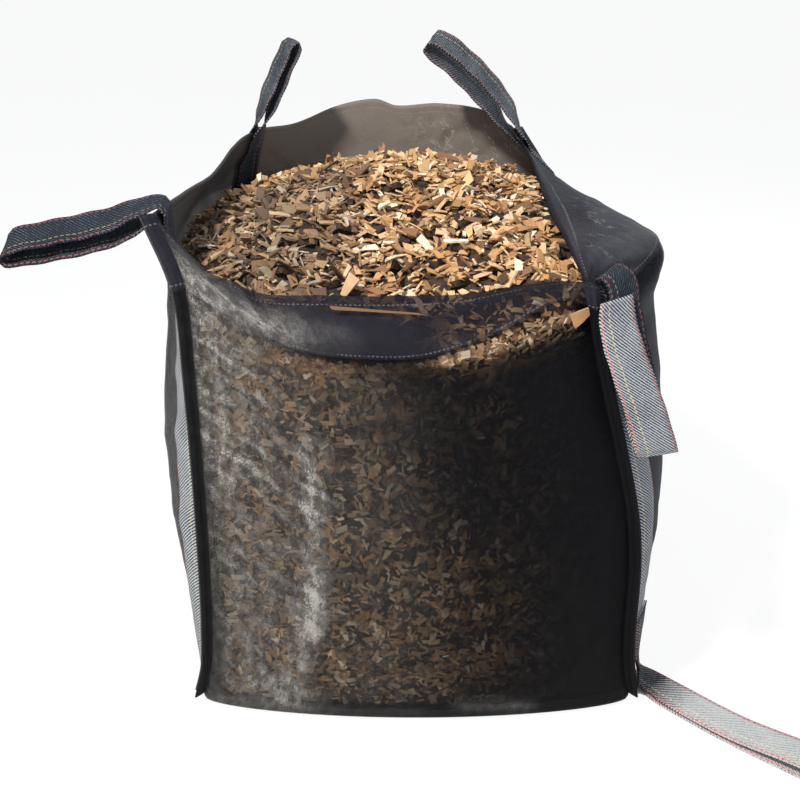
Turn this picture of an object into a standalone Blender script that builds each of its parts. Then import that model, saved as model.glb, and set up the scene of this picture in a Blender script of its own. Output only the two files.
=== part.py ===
"""Open-topped bulk bag of mesh cloth, filled with wood chips.

Metres, +Z up. The origin is the centre of the base, on the floor. +X runs to the right of
the front and -Y is the front, where the hem sags over the chips.
"""

import random
from math import cos, pi, sin, sqrt

import bmesh
import bpy
from mathutils import Matrix, Vector

# Driving dimensions of the bag
base_width = 0.88
base_depth = 0.88
back_rim_height = 1.055
cloth = 0.003
seam_gap = 0.0003
seam_flange = 0.024
hem_band = 0.112
bottom_fold_radius = 0.015

# Webbing
webbing_width = 0.08
webbing_thickness = 0.003
webbing_seat = 0.0005
webbing_from_corner = 0.012

# Fill
fill_below_rim = 0.17
heap_rise = 0.13
fill_clearance = 0.006
chip_length = 0.060
chip_width = 0.032
chip_thickness = 0.011
chip_pitch = 0.052
random_seed = 11

half_width = base_width / 2
half_depth = base_depth / 2
base_middle = cloth / 2
wall_foot = base_middle + bottom_fold_radius
fill_line = back_rim_height - fill_below_rim

# Heights of the stations of every wall, as shares of its length from foot to rim
station_shares = (0.0, 0.12, 0.40, 0.68, 0.84, 1.0)
low_height = 0.123 * back_rim_height
belly_height = 0.398 * back_rim_height
shoulder_height = 0.711 * back_rim_height

# Each corner at the six stations: how far it is pulled in from the base's corner along X
# and along Y. The last two stations also say how far below the back rim they lie.
corner_pull = {
    "front_left": ((0, 0), (0.026, -0.024), (0.036, -0.030), (0.034, -0.030),
                   (0.026, -0.026, 0.150), (-0.024, 0.004, 0.025)),
    "front_right": ((0, 0), (0.020, -0.014), (0.032, -0.016), (0.112, -0.012),
                    (0.138, -0.010, 0.190), (0.142, 0.008, 0.150)),
    "back_right": ((0, 0), (0.018, -0.020), (0.030, -0.030), (0.075, -0.020),
                   (0.128, -0.004, 0.165), (0.200, 0.006, 0.050)),
    "back_left": ((0, 0), (0.018, -0.020), (0.030, -0.030), (0.038, -0.020),
                  (0.052, -0.008, 0.165), (0.078, 0.004, 0.050)),
}
corner_sides = {
    "front_left": (-1, -1),
    "front_right": (1, -1),
    "back_right": (1, 1),
    "back_left": (-1, 1),
}

# Each wall between its two corners: how far its middle bulges at the four lower stations,
# then, for the neck and for the rim, points of share along the wall, push out and lift.
walls = {
    "front": {
        "ends": ("front_left", "front_right"),
        "outward": (0, -1),
        "bulge": (0.072, 0.080, 0.084, 0.074),
        "neck": ((0, 0, 0), (0.08, 0.004, -0.030), (0.15, 0.018, -0.058), (0.29, 0.050, -0.088),
                 (0.43, 0.061, -0.094), (0.60, 0.064, -0.084), (0.77, 0.057, -0.036),
                 (0.92, 0.026, 0.016), (1, 0, 0)),
        "rim": ((0, 0, 0), (0.06, 0.004, -0.046), (0.12, -0.004, -0.096), (0.18, -0.034, -0.118),
                (0.25, 0.046, -0.100), (0.40, 0.062, -0.078), (0.54, 0.046, -0.068),
                (0.72, -0.010, -0.062), (0.90, -0.018, -0.022), (1, 0, 0)),
        "chip_line": 0.80,
    },
    "right": {
        "ends": ("front_right", "back_right"),
        "outward": (1, 0),
        "bulge": (0.014, 0.085, 0.136, 0.160),
        "neck": ((0, 0, 0), (0.16, 0.118, 0.020), (0.32, 0.172, 0.030), (0.55, 0.120, 0.020),
                 (0.8, 0.045, 0.010), (1, 0, 0)),
        "rim": ((0, 0, 0), (0.12, -0.016, 0.026), (0.3, -0.020, 0.026), (0.55, -0.004, 0.006),
                (0.8, 0.012, -0.014), (1, 0, 0)),
        "chip_line": 0.82,
    },
    "back": {
        "ends": ("back_right", "back_left"),
        "outward": (0, 1),
        "bulge": (0.040, 0.080, 0.115, 0.120),
        "neck": ((0, 0, 0), (0.25, 0.100, 0.010), (0.5, 0.125, 0.010), (0.75, 0.095, 0.010),
                 (1, 0, 0)),
        "rim": ((0, 0, 0), (0.12, 0.060, 0.032), (0.3, 0.112, 0.038), (0.47, 0.130, 0.030),
                (0.56, 0.134, 0.046), (0.72, 0.118, 0.030), (0.88, 0.070, -0.002), (1, 0, 0)),
        "chip_line": 0.78,
    },
    "left": {
        "ends": ("back_left", "front_left"),
        "outward": (-1, 0),
        "bulge": (0.014, 0.085, 0.142, 0.114),
        "neck": ((0, 0, 0), (0.25, 0.082, 0.000), (0.5, 0.086, 0.000), (0.78, 0.062, 0.000),
                 (1, 0, 0)),
        "rim": ((0, 0, 0), (0.2, 0.012, 0.004), (0.5, 0.006, -0.018), (0.8, 0.000, -0.006),
                (1, 0, 0)),
        "chip_line": 0.80,
    },
}
wall_length = base_depth
neck_to_rim = 0.112
hem_start = 1 - (1 - station_shares[-2]) * hem_band / neck_to_rim

# How full each lower station's bulge is: a low power carries it close to the corners
bulge_fullness = (0.50, 0.60, 0.72, 0.85)
heap_centre = Vector((-0.02, 0.03, fill_line + heap_rise))


# Smooth curves through hand-placed points

def curve_through(knots, share):
    """Value at a share on the smooth curve through (share, value) knots."""
    places = [knot[0] for knot in knots]
    values = [knot[1] for knot in knots]
    last = len(knots) - 1
    share = min(max(share, places[0]), places[last])
    i = max(k for k in range(last) if places[k] <= share)

    def slope(k):
        if k == 0:
            return (values[1] - values[0]) * (1 / (places[1] - places[0]))
        if k == last:
            return (values[last] - values[last - 1]) * (1 / (places[last] - places[last - 1]))
        return (values[k + 1] - values[k - 1]) * (1 / (places[k + 1] - places[k - 1]))

    span = places[i + 1] - places[i]
    t = (share - places[i]) / span
    start = values[i] * (2 * t**3 - 3 * t**2 + 1) + slope(i) * (span * (t**3 - 2 * t**2 + t))
    end = values[i + 1] * (3 * t**2 - 2 * t**3) + slope(i + 1) * (span * (t**3 - t**2))
    return start + end


# The walls as surfaces

def corner_point(corner, station):
    """One corner of the bag at one station."""
    side_x, side_y = corner_sides[corner]
    pull = corner_pull[corner][station]
    heights = (wall_foot, low_height, belly_height, shoulder_height)
    height = heights[station] if station < len(heights) else back_rim_height - pull[2]
    return Vector((side_x * (half_width - pull[0]), side_y * (half_depth - pull[1]), height))


def station_point(wall, along, station):
    """A point on one station line of a wall, from 0 at its first corner to 1 at its last."""
    first, last = (corner_point(corner, station) for corner in wall["ends"])
    out_x, out_y = wall["outward"]
    outward = Vector((out_x, out_y, 0))
    if station < len(wall["bulge"]):
        push = wall["bulge"][station] * sin(pi * along) ** bulge_fullness[station]
        lift = 0
    else:
        line = wall["neck"] if station == len(wall["bulge"]) else wall["rim"]
        push = curve_through([(share, out) for share, out, up in line], along)
        lift = curve_through([(share, up) for share, out, up in line], along)
    return first.lerp(last, along) + outward * push + Vector((0, 0, lift))


def wall_point(wall, along, up):
    """A point on the middle surface of a wall, up from 0 at its foot to 1 at its rim."""
    knots = [(share, station_point(wall, along, i)) for i, share in enumerate(station_shares)]
    return curve_through(knots, up)


def wall_normal(wall, along, up):
    """The outward direction of a wall."""
    step = 0.01
    before = wall_point(wall, max(along - step, 0), up)
    after = wall_point(wall, min(along + step, 1), up)
    below = wall_point(wall, along, max(up - step, 0))
    above = wall_point(wall, along, min(up + step, 1))
    return (after - before).cross(above - below).normalized()


def wall_thickness(up):
    """The hem is the cloth turned over and stitched, so it is twice as thick."""
    return 2 * cloth if up >= hem_start else cloth


def seam_vectors(corner, wall, along, up):
    """The way a corner's seam flange stands out, and the way across it to the side panel."""
    side_x, side_y = corner_sides[corner]
    outward = Vector((side_x, side_y, 0)).normalized()
    step = 0.02
    below = wall_point(wall, along, max(up - step, 0))
    above = wall_point(wall, along, min(up + step, 1))
    across = outward.cross(above - below).normalized()
    if across.dot(Vector((side_x, -side_y, 0))) < 0:
        across = -across
    return outward, across


def seam_point(corner, wall, along, up, across_sign, flange):
    """A point at a corner seam, on the side panel or on the long panel, and out on its flange."""
    outward, across = seam_vectors(corner, wall, along, up)
    half_seam = wall_thickness(up) / 2 + seam_gap
    return wall_point(wall, along, up) + across * (across_sign * half_seam) + outward * flange


# Making cloth

def material(name, colour, roughness):
    """A cloth or wood finish."""
    finish = bpy.data.materials.new(name)
    finish.use_nodes = True
    shader = finish.node_tree.nodes["Principled BSDF"]
    shader.inputs["Base Color"].default_value = (*colour, 1)
    shader.inputs["Roughness"].default_value = roughness
    shader.inputs["Metallic"].default_value = 0
    return finish


def fold_outward(sheet):
    """Crease each face along the diagonal that stands further out from the middle of the bag."""
    for face in sheet.faces[:]:
        a, b, c, d = face.verts
        first = (a.co + c.co) / 2
        second = (b.co + d.co) / 2
        outward = Vector((first.x, first.y, 0))
        ends = (a, c) if (first - second).dot(outward) >= 0 else (b, d)
        bmesh.utils.face_split(face, *ends)


def cloth_sheet(name, rows, thickness, finish, double_rows=(), dropped=()):
    """A sheet through rows of points, given its thickness. Double rows are the hem."""
    count_along = len(rows)
    count_across = len(rows[0])
    sheet = bmesh.new()
    bmesh.ops.create_grid(sheet, x_segments=count_across - 1, y_segments=count_along - 1, size=1)
    sheet.verts.ensure_lookup_table()
    hem_weight = sheet.verts.layers.deform.verify()
    for row, points in enumerate(rows):
        for column, point in enumerate(points):
            vert = sheet.verts[row * count_across + column]
            vert.co = point
            if row in double_rows:
                vert[hem_weight][0] = 1.0
    sheet.faces.ensure_lookup_table()
    doomed = [sheet.faces[row * (count_across - 1) + column] for row, column in dropped]
    bmesh.ops.delete(sheet, geom=doomed, context="FACES")
    fold_outward(sheet)
    mesh = bpy.data.meshes.new(name)
    sheet.to_mesh(mesh)
    sheet.free()
    piece = bpy.data.objects.new(name, mesh)
    bag.objects.link(piece)
    mesh.materials.append(finish)
    solidify = piece.modifiers.new("cloth_thickness", "SOLIDIFY")
    solidify.thickness = thickness
    solidify.offset = 0
    solidify.use_even_offset = True
    if double_rows:
        piece.vertex_groups.new(name="hem")
        solidify.thickness = 2 * thickness
        solidify.vertex_group = "hem"
        solidify.thickness_vertex_group = 0.5
    return piece


for old in list(bpy.data.objects):
    bpy.data.objects.remove(old, do_unlink=True)
bag = bpy.data.collections.new("bulk_bag_of_wood_chips")
bpy.context.scene.collection.children.link(bag)
shaping = bpy.data.collections.new("shaping")
bpy.context.scene.collection.children.link(shaping)

mesh_cloth = material("black_mesh_cloth", (0.022, 0.024, 0.030), 0.62)
side_cloth = material("side_mesh_cloth", (0.020, 0.023, 0.032), 0.60)
webbing = material("grey_twill_webbing", (0.075, 0.095, 0.125), 0.80)
pale_webbing = material("bleached_webbing", (0.36, 0.37, 0.38), 0.88)
chip_wood = material("wood_chips", (0.46, 0.27, 0.12), 0.85)

# Row stations from rim to foot, close together where the hem ends and at the shoulder
wall_rows = (1.0, 0.96, 0.92, 0.88, hem_start, hem_start - 0.012, 0.79, 0.74, 0.67, 0.57,
             0.44, 0.31, 0.18, 0.09, 0.0)
fold_angles = (pi / 6, pi / 3)


# The long panel: one cloth that runs down the front, under the fill and up the back

long_columns = 20
base_rows = 3


def long_wall_row(wall, up, mirrored):
    """One row across the front or the back, with its seam flange at both ends."""
    first, last = wall["ends"]
    points = [seam_point(first, wall, 0, up, -1, seam_flange), seam_point(first, wall, 0, up, -1, 0)]
    points += [wall_point(wall, i / long_columns, up) for i in range(1, long_columns)]
    points += [seam_point(last, wall, 1, up, -1, 0), seam_point(last, wall, 1, up, -1, seam_flange)]
    return points[::-1] if mirrored else points


def fold_row(wall, angle, mirrored):
    """One row of the rounded fold where a wall turns under the fill."""
    out_x, out_y = wall["outward"]
    tuck = bottom_fold_radius * (1 - cos(angle))
    drop = bottom_fold_radius * sin(angle)
    moved = Vector((-out_x * tuck, -out_y * tuck, -drop))
    return [point + moved for point in long_wall_row(wall, 0, mirrored)]


def base_row(share):
    """One row of the base, between the folds, as wide as the side panels' feet."""
    turn = pi / 2
    front_line = fold_row(walls["front"], turn, False)
    back_line = fold_row(walls["back"], turn, True)
    points = [a.lerp(b, share) for a, b in zip(front_line, back_line)]
    for i, point in enumerate(points):
        spread = (i - 1) / long_columns * 2 - 1
        side = walls["left"] if spread < 0 else walls["right"]
        point.x += spread * (side["bulge"][0] * sin(pi * share) ** bulge_fullness[0] + cloth)
        point.z = base_middle
    return points


rows = [long_wall_row(walls["front"], up, False) for up in wall_rows]
rows += [fold_row(walls["front"], angle, False) for angle in fold_angles]
rows += [base_row(i / base_rows) for i in range(base_rows + 1)]
rows += [fold_row(walls["back"], angle, True) for angle in reversed(fold_angles)]
rows += [long_wall_row(walls["back"], up, True) for up in reversed(wall_rows)]
hem_rows = [i for i, up in enumerate(wall_rows) if up >= hem_start]
row_count = len(rows)
first_turn = len(wall_rows) - 1
last_turn = row_count - len(wall_rows)
flange_columns = (0, long_columns + 1)
unflanged = [(row, column) for row in range(first_turn, last_turn) for column in flange_columns]
cloth_sheet(
    "front_base_back_panel",
    rows,
    cloth,
    mesh_cloth,
    double_rows=hem_rows + [row_count - 1 - i for i in hem_rows],
    dropped=unflanged,
)


# The side panels, sewn to the long panel down both corners, their feet on the base

strap_columns = [
    (webbing_from_corner + webbing_width * part / 2) / wall_length for part in range(3)
]
middle_columns = [0.2, 0.3, 0.4, 0.5, 0.6, 0.7, 0.8]
side_columns = strap_columns + middle_columns + [1 - share for share in reversed(strap_columns)]
foot_rows = (0.0095, 0.006, cloth + 2 * seam_gap)


def foot_retreat(height):
    """How far a side panel's edge steps back along Y to clear the rounded fold beside it."""
    reach = bottom_fold_radius - cloth / 2 - 3 * seam_gap
    rise = wall_foot - height
    return bottom_fold_radius - sqrt(max(reach**2 - rise**2, 0))


def side_row(wall, up):
    """One row across a side panel, with its seam flange at both ends."""
    first, last = wall["ends"]
    points = [seam_point(first, wall, 0, up, 1, seam_flange), seam_point(first, wall, 0, up, 1, 0)]
    points += [wall_point(wall, share, up) for share in side_columns]
    points += [seam_point(last, wall, 1, up, 1, 0), seam_point(last, wall, 1, up, 1, seam_flange)]
    return points


def side_foot_row(wall, height):
    """One row of a side panel's foot, drawn in at both ends beside the folds."""
    points = side_row(wall, 0)
    retreat = foot_retreat(height)
    reach = half_depth - retreat
    for point in points:
        point.y *= reach / half_depth
        point.z = height
    return points


for side in ("left", "right"):
    rows = [side_row(walls[side], up) for up in wall_rows]
    rows += [side_foot_row(walls[side], height) for height in foot_rows]
    flange_ends = (0, len(side_columns) + 2)
    first_plain = len(wall_rows) - 2
    unflanged = [(row, column) for row in range(first_plain, len(rows) - 1) for column in flange_ends]
    cloth_sheet(
        side + "_side_panel", rows, cloth, side_cloth, double_rows=hem_rows, dropped=unflanged
    )


# The lifting straps: each is one webbing that climbs the outside of a side panel beside the
# corner, stands off as a loop and goes back down inside the bag

inner_leg_end = 0.8
inner_leg_top = 0.96
inner_leg_ease = 0.0015
longest_step = 0.045


def leg_points(wall, columns, up, side_sign):
    """The three points across a strap's leg, seated on the outside or inside of a wall."""
    stand_off = wall_thickness(up) / 2 + webbing_seat + webbing_thickness / 2
    if side_sign < 0:
        stand_off += inner_leg_ease
    return [
        wall_point(wall, share, up) + wall_normal(wall, share, up) * (side_sign * stand_off)
        for share in columns
    ]


def loop_rows(start, end, free_points):
    """The rows of the free loop between the tops of its two legs."""
    knots = [(start[1], (start[2] - start[0]).normalized())]
    knots += [(Vector(place), Vector(width).normalized()) for place, width in free_points]
    knots += [(end[1], (end[2] - end[0]).normalized())]
    places = [(i, place) for i, (place, width) in enumerate(knots)]
    widths = [(i, width) for i, (place, width) in enumerate(knots)]
    rows = []
    for i, (before, after) in enumerate(zip(knots, knots[1:])):
        steps = int((after[0] - before[0]).length / longest_step) + 1
        for step in range(steps):
            middle = curve_through(places, i + step / steps)
            half = curve_through(widths, i + step / steps).normalized() * (webbing_width / 2)
            rows.append([middle - half, middle, middle + half])
    return rows[1:]


def lifting_strap(corner, wall_name, outer_top, free_points, goes_inside=True):
    """One strap, from the foot of its outer leg round its loop to its other end.

    The loop's points are given from the corner of the rim: along +X, along +Y and up, each
    with the way that the strap's width lies there. Its other end is a short leg inside the
    bag, or else is the last point.
    """
    wall = walls[wall_name]
    at_start = wall["ends"][0] == corner
    columns = strap_columns if at_start else [1 - share for share in strap_columns]
    outer = [leg_points(wall, columns, up, 1) for up in reversed(wall_rows) if up <= outer_top]
    rim_corner = corner_point(corner, len(station_shares) - 1)
    placed = [(rim_corner + Vector(offset), width) for offset, width in free_points]
    if goes_inside:
        end_rows = [
            leg_points(wall, columns, up, -1)
            for up in wall_rows if inner_leg_end < up <= inner_leg_top
        ]
    else:
        place, width = placed.pop()
        half = Vector(width).normalized() * (webbing_width / 2)
        end_rows = [[place - half, place, place + half]]
    rows = outer + loop_rows(outer[-1], end_rows[0], placed) + end_rows
    return cloth_sheet(corner + "_lifting_strap", rows, webbing_thickness, webbing)


to_front = (0, -1, 0)
to_back = (0, 1, 0)
tipped_back = (0, 1, 0.25)
turned_right = (0.14, -0.99, 0)
turned_left = (-0.12, -0.985, -0.12)

# The front left loop has fallen outwards and lies level
lifting_strap("front_left", "left", 0.96, [
    ((0.001, 0.045, -0.024), to_back),
    ((-0.013, 0.046, -0.023), to_back),
    ((-0.036, 0.046, -0.036), (0, 1, 0.1)),
    ((-0.096, 0.046, -0.058), tipped_back),
    ((-0.170, 0.046, -0.076), tipped_back),
    ((-0.240, 0.046, -0.088), tipped_back),
    ((-0.270, 0.046, -0.088), tipped_back),
    ((-0.281, 0.046, -0.075), tipped_back),
    ((-0.270, 0.046, -0.062), tipped_back),
    ((-0.236, 0.046, -0.051), tipped_back),
    ((-0.165, 0.046, -0.036), tipped_back),
    ((-0.096, 0.046, -0.020), (0, 1, 0.22)),
    ((-0.044, 0.046, -0.003), (0, 1, 0.1)),
    ((-0.012, 0.047, 0.007), to_back),
    ((0.008, 0.047, 0.008), to_back),
    ((0.019, 0.045, -0.004), to_back),
])
# The back left loop stands up, leans to the right and shows the camera's side its face
lifting_strap("back_left", "left", 0.96, [
    ((-0.018, -0.051, 0.006), (-0.2, -1, 0.06)),
    ((-0.004, -0.051, 0.045), to_front),
    ((0.018, -0.052, 0.105), turned_right),
    ((0.048, -0.052, 0.168), turned_right),
    ((0.070, -0.053, 0.204), turned_right),
    ((0.084, -0.053, 0.212), turned_right),
    ((0.093, -0.053, 0.196), turned_right),
    ((0.066, -0.052, 0.136), turned_right),
    ((0.036, -0.052, 0.076), (0.1, -1, 0)),
    ((0.013, -0.051, 0.030), (-0.1, -1, 0)),
    ((-0.001, -0.051, 0.002), (-0.2, -1, 0.06)),
])
# The back right loop stands up and leans well over to the left
lifting_strap("back_right", "right", 0.96, [
    ((0.018, -0.050, -0.006), (0.15, -1, -0.2)),
    ((0.003, -0.051, 0.020), (0.05, -1, -0.15)),
    ((-0.024, -0.051, 0.066), (-0.1, -1, -0.15)),
    ((-0.074, -0.052, 0.126), turned_left),
    ((-0.130, -0.052, 0.178), turned_left),
    ((-0.172, -0.053, 0.209), turned_left),
    ((-0.197, -0.053, 0.217), turned_left),
    ((-0.208, -0.053, 0.204), turned_left),
    ((-0.196, -0.053, 0.188), turned_left),
    ((-0.150, -0.052, 0.152), turned_left),
    ((-0.101, -0.052, 0.105), turned_left),
    ((-0.057, -0.051, 0.058), (-0.1, -1, -0.15)),
    ((-0.029, -0.051, 0.022), (0.05, -1, -0.15)),
    ((0.000, -0.050, -0.014), (0.15, -1, -0.2)),
])
# The front right loop folds over outside the bag, hangs down beside the corner, turns and
# comes up in front to its other end, sewn under the lip of the rim
lifting_strap("front_right", "right", 0.88, [
    ((0.035, 0.035, 0.0005), (0.58, 0.80, 0.16)),
    ((0.039, 0.029, 0.009), (0.60, 0.79, 0.14)),
    ((0.048, 0.020, 0.012), (0.64, 0.76, 0.1)),
    ((0.059, 0.010, 0.005), (0.69, 0.72, 0.08)),
    ((0.067, 0.000, -0.016), (0.74, 0.67, 0.05)),
    ((0.068, -0.014, -0.050), (0.84, 0.54, 0)),
    ((0.074, -0.030, -0.095), (0.92, 0.4, 0)),
    ((0.086, -0.040, -0.145), (0.95, 0.32, 0)),
    ((0.102, -0.046, -0.200), (0.96, 0.28, 0)),
    ((0.118, -0.050, -0.255), (0.97, 0.25, 0)),
    ((0.132, -0.057, -0.294), (0.97, 0.22, 0)),
    ((0.138, -0.072, -0.306), (0.97, 0.22, 0)),
    ((0.135, -0.088, -0.294), (0.97, 0.22, 0)),
    ((0.120, -0.093, -0.250), (0.97, 0.25, 0)),
    ((0.101, -0.092, -0.198), (0.96, 0.28, 0)),
    ((0.080, -0.085, -0.145), (0.95, 0.32, 0)),
    ((0.062, -0.068, -0.095), (0.92, 0.4, 0)),
    ((0.053, -0.042, -0.056), (0.87, 0.48, 0)),
    ((0.052, -0.0225, -0.024), (0.80, 0.60, 0.03)),
], goes_inside=False)


# The emptying loop, sewn over the foot of the front right strap and lying on the floor

loop_run = 0.50
loop_turn = Vector((0.745, -0.667, 0)).normalized()
loop_turning_run = 0.12
sewn_rows = (0.18, 0.09, 0.0)
outer_sewn_rows = (0.09, 0.18)
under_run = ((0.004, 0.0088), (0.014, 0.0045), (0.034, 0.0036), (0.10, 0.0036), (0.24, 0.0036),
             (0.37, 0.0036))
end_bend = ((0.034, 0.005), (0.008, 0.010), (0.0, 0.019), (0.010, 0.028), (0.036, 0.030))
over_run = ((0.37, 0.025), (0.24, 0.014), (0.10, 0.0122), (0.046, 0.0128), (0.027, 0.0175),
            (0.016, 0.027), (0.0115, 0.042), (0.0125, 0.062))


def foot_loop():
    """A flat loop: its lower layer lies on the floor and its upper layer comes back over it."""
    wall = walls["right"]

    def sewn(up, layer):
        stand_off = (cloth + webbing_thickness) / 2 + webbing_seat
        stand_off += layer * (webbing_thickness + webbing_seat)
        return [
            wall_point(wall, share, up) + wall_normal(wall, share, up) * stand_off
            for share in strap_columns
        ]

    inner = [sewn(up, 1) for up in sewn_rows]
    outer = [sewn(up, 2) for up in outer_sewn_rows]
    foot = Vector((inner[-1][1].x, inner[-1][1].y, 0))
    side_on = Vector((1, 0, 0))
    across = Vector((0, 1, 0))
    turned = Vector((-loop_turn.y, loop_turn.x, 0))

    def on_floor(run, height):
        turning = min(run / loop_turning_run, 1)
        bend = side_on.lerp(loop_turn, turning)
        return foot + bend * run + Vector((0, 0, height)), across.lerp(turned, turning)

    free = [on_floor(run, height) for run, height in under_run]
    free += [on_floor(loop_run - back, height) for back, height in end_bend]
    free += [on_floor(run, height) for run, height in over_run]
    rows = inner + loop_rows(inner[-1], outer[0], free) + outer
    return cloth_sheet("emptying_loop", rows, webbing_thickness, pale_webbing)


foot_loop()


# The wood chips: the fill pressed into the bag's shape, heaped above the rim, with chips
# lying at all angles on the heap

fill_columns = (0.07, 0.2, 0.35, 0.5, 0.65, 0.8, 0.93)
fill_rows = (0.0, 0.09, 0.22, 0.36, 0.50, 0.64, 0.76, 0.88, 1.0)
heap_rings = (0.86, 0.70, 0.54, 0.38, 0.22, 0.08)


def fill_ring(share):
    """One ring round the fill, at a share of the height of the chips at the wall."""
    points = []
    names = ("front", "right", "back", "left")
    for i, name in enumerate(names):
        wall = walls[name]
        before = walls[names[i - 1]]["chip_line"]
        after = walls[names[(i + 1) % 4]]["chip_line"]
        lines = [(0, (before + wall["chip_line"]) / 2), (0.25, wall["chip_line"]),
                 (0.75, wall["chip_line"]), (1, (after + wall["chip_line"]) / 2)]
        inset = cloth + fill_clearance + webbing_thickness
        for along in fill_columns:
            up = share * curve_through(lines, along)
            point = wall_point(wall, along, up) - wall_normal(wall, along, up) * inset
            points.append(point)
    return points


def heap_point(edge, ring):
    """A point on the heap, between the chips' edge at the wall and the top of the heap."""
    place = heap_centre.lerp(edge, ring)
    place.z = heap_centre.z - (heap_centre.z - edge.z) * ring**1.3
    return place


def heap_slab(chips, place, dice):
    """One chip, a slab of split wood, lying at a chance angle."""
    slab = bmesh.ops.create_cube(chips, size=1)["verts"]
    length = chip_length * dice.uniform(0.75, 1.1)
    width = chip_width * dice.uniform(0.7, 1.2)
    bmesh.ops.scale(chips, verts=slab, vec=(length, width, chip_thickness))
    narrowing = dice.uniform(0.1, 0.5)
    for vert in slab:
        if vert.co.x > 0:
            vert.co.y *= 1 - narrowing
    tilt = Matrix.Rotation(dice.uniform(-0.45, 0.45), 3, "X")
    dip = Matrix.Rotation(dice.uniform(-0.5, 0.5), 3, "Y")
    heading = Matrix.Rotation(dice.uniform(0, 2 * pi), 3, "Z")
    bmesh.ops.rotate(chips, verts=slab, cent=(0, 0, 0), matrix=heading @ dip @ tilt)
    bmesh.ops.translate(chips, verts=slab, vec=place)


def edge_at(ring_points, turn):
    """The point at a share of the way round a ring of points."""
    place = turn * len(ring_points)
    i = int(place) % len(ring_points)
    return ring_points[i].lerp(ring_points[(i + 1) % len(ring_points)], place - int(place))


def finished(name, shape):
    """A mesh object of a bmesh, with the wood's finish."""
    mesh = bpy.data.meshes.new(name)
    shape.to_mesh(mesh)
    shape.free()
    piece = bpy.data.objects.new(name, mesh)
    mesh.materials.append(chip_wood)
    return piece


fill = bmesh.new()
rings = [fill_ring(share) for share in fill_rows]
sunk = [Vector((p.x * 0.96, p.y * 0.96, cloth + seam_gap)) for p in rings[0]]
edge_ring = rings[-1]
lofted = [sunk] + rings + [[heap_point(edge, ring) for edge in edge_ring] for ring in heap_rings]
loops = []
for points in lofted:
    verts = [fill.verts.new(point) for point in points]
    loops.append([fill.edges.new((a, b)) for a, b in zip(verts, verts[1:] + verts[:1])])
for lower, upper in zip(loops, loops[1:]):
    bmesh.ops.bridge_loops(fill, edges=lower + upper)
bmesh.ops.contextual_create(fill, geom=loops[0])
bmesh.ops.contextual_create(fill, geom=loops[-1])
bmesh.ops.recalc_face_normals(fill, faces=fill.faces[:])
wood_chips = finished("wood_chips", fill)
bag.objects.link(wood_chips)

# Chips in rings over the heap, shared out so that no two of one lot touch
dice = random.Random(random_seed)
lots = [bmesh.new() for _ in range(4)]
reach = half_width * 0.9
overhangs = [
    wall_point(wall, i / 30, up) for wall in walls.values() for i in range(30)
    for up in (1, 0.95, 0.9, 0.84)
]
rings_of_chips = int(0.86 * reach / chip_pitch)
for ring in range(rings_of_chips):
    share = 0.86 - ring * chip_pitch / reach
    round_count = max(2 * int(pi * share * reach / chip_pitch), 2)
    for step in range(round_count):
        turn = (step + 0.5 * (ring % 2)) / round_count
        place = heap_point(edge_at(edge_ring, turn % 1), share)
        if min((place - point).length for point in overhangs) > chip_length / 2 + 4 * cloth:
            heap_slab(lots[2 * (ring % 2) + step % 2], place, dice)
for i, lot in enumerate(lots):
    scattered = finished(f"scattered_chips_{i + 1}", lot)
    shaping.objects.link(scattered)
    scattered.hide_render = True
    scattered.display_type = "WIRE"
    joined = wood_chips.modifiers.new(f"scattered_chips_{i + 1}", "BOOLEAN")
    joined.operation = "UNION"
    joined.object = scattered
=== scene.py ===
"""Looks of a bulk bag of wood chips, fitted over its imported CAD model."""

import random
from math import cos, pi, radians, sin

import bmesh
import bpy
import numpy as np
from mathutils import Euler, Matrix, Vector, noise


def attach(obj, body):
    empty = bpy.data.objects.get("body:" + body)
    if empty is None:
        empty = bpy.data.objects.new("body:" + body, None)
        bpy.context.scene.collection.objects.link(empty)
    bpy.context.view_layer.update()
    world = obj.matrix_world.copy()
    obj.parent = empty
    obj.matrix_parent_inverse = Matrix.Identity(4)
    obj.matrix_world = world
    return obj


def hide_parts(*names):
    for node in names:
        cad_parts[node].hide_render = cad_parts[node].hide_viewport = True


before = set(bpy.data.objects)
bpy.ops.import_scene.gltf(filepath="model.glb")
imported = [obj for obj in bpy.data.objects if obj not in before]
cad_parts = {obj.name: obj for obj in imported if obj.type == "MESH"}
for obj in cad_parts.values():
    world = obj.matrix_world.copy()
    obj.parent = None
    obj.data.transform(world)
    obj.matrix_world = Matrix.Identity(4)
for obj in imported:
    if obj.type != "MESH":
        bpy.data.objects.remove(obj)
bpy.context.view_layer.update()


# Camera and light
# The photograph looks a little down on the front, from standing height. A small high lamp
# gives the sun's side, a wide one fills the front, and a third lights the rim from behind.



def placed(name, data):
    """An object in the scene, at the origin."""
    made = bpy.data.objects.new(name, data)
    bpy.context.scene.collection.objects.link(made)
    return made


eye = placed("camera", bpy.data.cameras.new("camera"))
eye.location = (-0.034, -2.468, 1.5816)
eye_tilt = radians(66)
eye.rotation_euler = (eye_tilt, 0, 0)
eye.data.lens = 54
eye.data.sensor_width = 36
bpy.context.scene.camera = eye


def panel_light(name, place, target, size, power, colour=(1, 1, 1)):
    """A soft square light that faces a target."""
    lamp = bpy.data.lights.new(name, "AREA")
    lamp.shape = "SQUARE"
    lamp.size = size
    lamp.energy = power
    lamp.color = colour
    light = placed(name, lamp)
    light.location = place
    aim = Vector(target) - Vector(place)
    light.rotation_euler = aim.to_track_quat("-Z", "Y").to_euler()


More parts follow.
